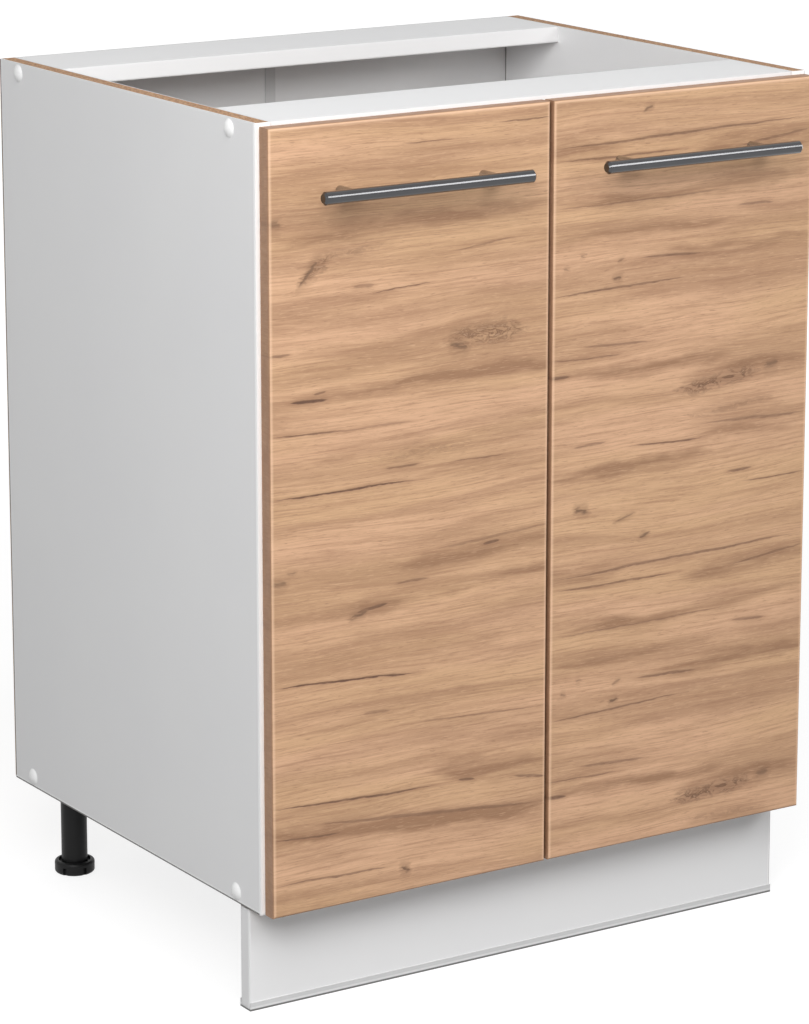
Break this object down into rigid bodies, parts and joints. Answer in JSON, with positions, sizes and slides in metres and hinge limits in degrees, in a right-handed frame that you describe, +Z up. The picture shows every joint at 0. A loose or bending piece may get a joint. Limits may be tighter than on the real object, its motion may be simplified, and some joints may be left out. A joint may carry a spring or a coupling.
{
  "type": "kitchen base cabinet",
  "caption": "Kitchen base cabinet with two oak decor doors on concealed hinges, bar handles, an open top, a shelf, adjustable legs and a plinth.",
  "frame": {"origin": "bottom centre of the whole cabinet, on the floor under the feet", "axes": "+X across the front towards the right door, +Y from the doors to the back, +Z up"},
  "size_m": [0.607, 0.533, 0.82],
  "materials": {
    "white_melamine": "white melamine on chipboard, fine satin",
    "grey_hardboard": "thin hardboard, lacquered light grey",
    "grey_strip": "grey plastic extrusion",
    "zinc_steel": "zinc plated",
    "beech": "fluted beech, raw",
    "white_cap": "white moulded plastic",
    "oak_decor": "light oak decor with the grain across the door, satin",
    "clear_buffer": "soft clear buffer",
    "graphite_metal": "dark graphite plating, glossy",
    "nickel_steel": "nickel plated",
    "black_plastic": "black moulded plastic",
    "grey_seal": "translucent grey plastic extrusion"
  },
  "bodies": {
    "carcass": {"side_panel_left": "white_melamine", "side_panel_right": "white_melamine", "bottom_panel": "white_melamine", "top_rail_front": "white_melamine", "top_rail_rear": "white_melamine", "back_panel_left": "grey_hardboard", "back_panel_right": "grey_hardboard", "back_joint_profile": "grey_strip", "back_nails": "zinc_steel", "assembly_screws": "zinc_steel", "dowels": "beech", "screw_caps": "white_cap", "shelf": "white_melamine", "shelf_supports": "zinc_steel", "hinge_arms_left": "nickel_steel", "hinge_arms_right": "nickel_steel", "hinge_arm_rivets_left": "nickel_steel", "hinge_arm_rivets_right": "nickel_steel", "hinge_plates_left": "nickel_steel", "hinge_plates_right": "nickel_steel", "hinge_plate_screws": "nickel_steel", "hinge_arm_screws": "nickel_steel", "leg_sockets": "black_plastic", "leg_socket_screws": "zinc_steel", "leg_tubes": "black_plastic", "plinth_panel": "white_melamine", "plinth_seal": "grey_seal", "plinth_clips": "black_plastic"},
    "door_left": {"door_left": "oak_decor", "door_buffers_left": "clear_buffer", "handle_bar_left": "graphite_metal", "handle_posts_left": "graphite_metal", "handle_screws_left": "zinc_steel", "hinge_cups_left": "nickel_steel", "hinge_cup_screws_left": "nickel_steel", "hinge_cup_pins_left": "nickel_steel"},
    "outer_links_left": {"hinge_outer_links_left": "nickel_steel"},
    "inner_links_left": {"hinge_inner_links_left": "nickel_steel"},
    "door_right": {"door_right": "oak_decor", "door_buffers_right": "clear_buffer", "handle_bar_right": "graphite_metal", "handle_posts_right": "graphite_metal", "handle_screws_right": "zinc_steel", "hinge_cups_right": "nickel_steel", "hinge_cup_screws_right": "nickel_steel", "hinge_cup_pins_right": "nickel_steel"},
    "outer_links_right": {"hinge_outer_links_right": "nickel_steel"},
    "inner_links_right": {"hinge_inner_links_right": "nickel_steel"},
    "foot_front_left": {"leg_foot_front_left": "black_plastic"},
    "foot_front_right": {"leg_foot_front_right": "black_plastic"},
    "foot_rear_left": {"leg_foot_rear_left": "black_plastic"},
    "foot_rear_right": {"leg_foot_rear_right": "black_plastic"}
  },
  "joints": [
    {"name": "door_left_swing", "type": "hinge", "parent": "carcass", "child": "door_left", "pos_m": [-0.2945, -0.227, 0.459], "axis": [0, 0, -1], "range_deg": [0, 100]},
    {"name": "outer_links_left_turn", "type": "hinge", "parent": "carcass", "child": "outer_links_left", "pos_m": [-0.268, -0.2215, 0.459], "axis": [0, 0, 1], "range_deg": [0, 67.5]},
    {"name": "inner_links_left_turn", "type": "hinge", "parent": "door_left", "child": "inner_links_left", "pos_m": [-0.283, -0.2175, 0.459], "axis": [0, 0, 1], "range_deg": [0, 159.5]},
    {"name": "door_right_swing", "type": "hinge", "parent": "carcass", "child": "door_right", "pos_m": [0.2945, -0.227, 0.459], "axis": [0, 0, 1], "range_deg": [0, 100]},
    {"name": "outer_links_right_turn", "type": "hinge", "parent": "carcass", "child": "outer_links_right", "pos_m": [0.268, -0.2215, 0.459], "axis": [0, 0, -1], "range_deg": [0, 67.5]},
    {"name": "inner_links_right_turn", "type": "hinge", "parent": "door_right", "child": "inner_links_right", "pos_m": [0.283, -0.2175, 0.459], "axis": [0, 0, -1], "range_deg": [0, 159.5]},
    {"name": "foot_front_left_screw", "type": "slide", "parent": "carcass", "child": "foot_front_left", "axis": [0, 0, -1], "range_m": [0, 0.025]},
    {"name": "foot_front_right_screw", "type": "slide", "parent": "carcass", "child": "foot_front_right", "axis": [0, 0, -1], "range_m": [0, 0.025]},
    {"name": "foot_rear_left_screw", "type": "slide", "parent": "carcass", "child": "foot_rear_left", "axis": [0, 0, -1], "range_m": [0, 0.025]},
    {"name": "foot_rear_right_screw", "type": "slide", "parent": "carcass", "child": "foot_rear_right", "axis": [0, 0, -1], "range_m": [0, 0.025]}
  ],
  "couplings": [
    {"joint": "outer_links_left_turn", "follows": "door_left_swing", "ratio": 0.67},
    {"joint": "inner_links_left_turn", "follows": "door_left_swing", "ratio": 1.59},
    {"joint": "outer_links_right_turn", "follows": "door_right_swing", "ratio": 0.67},
    {"joint": "inner_links_right_turn", "follows": "door_right_swing", "ratio": 1.59}
  ]
}
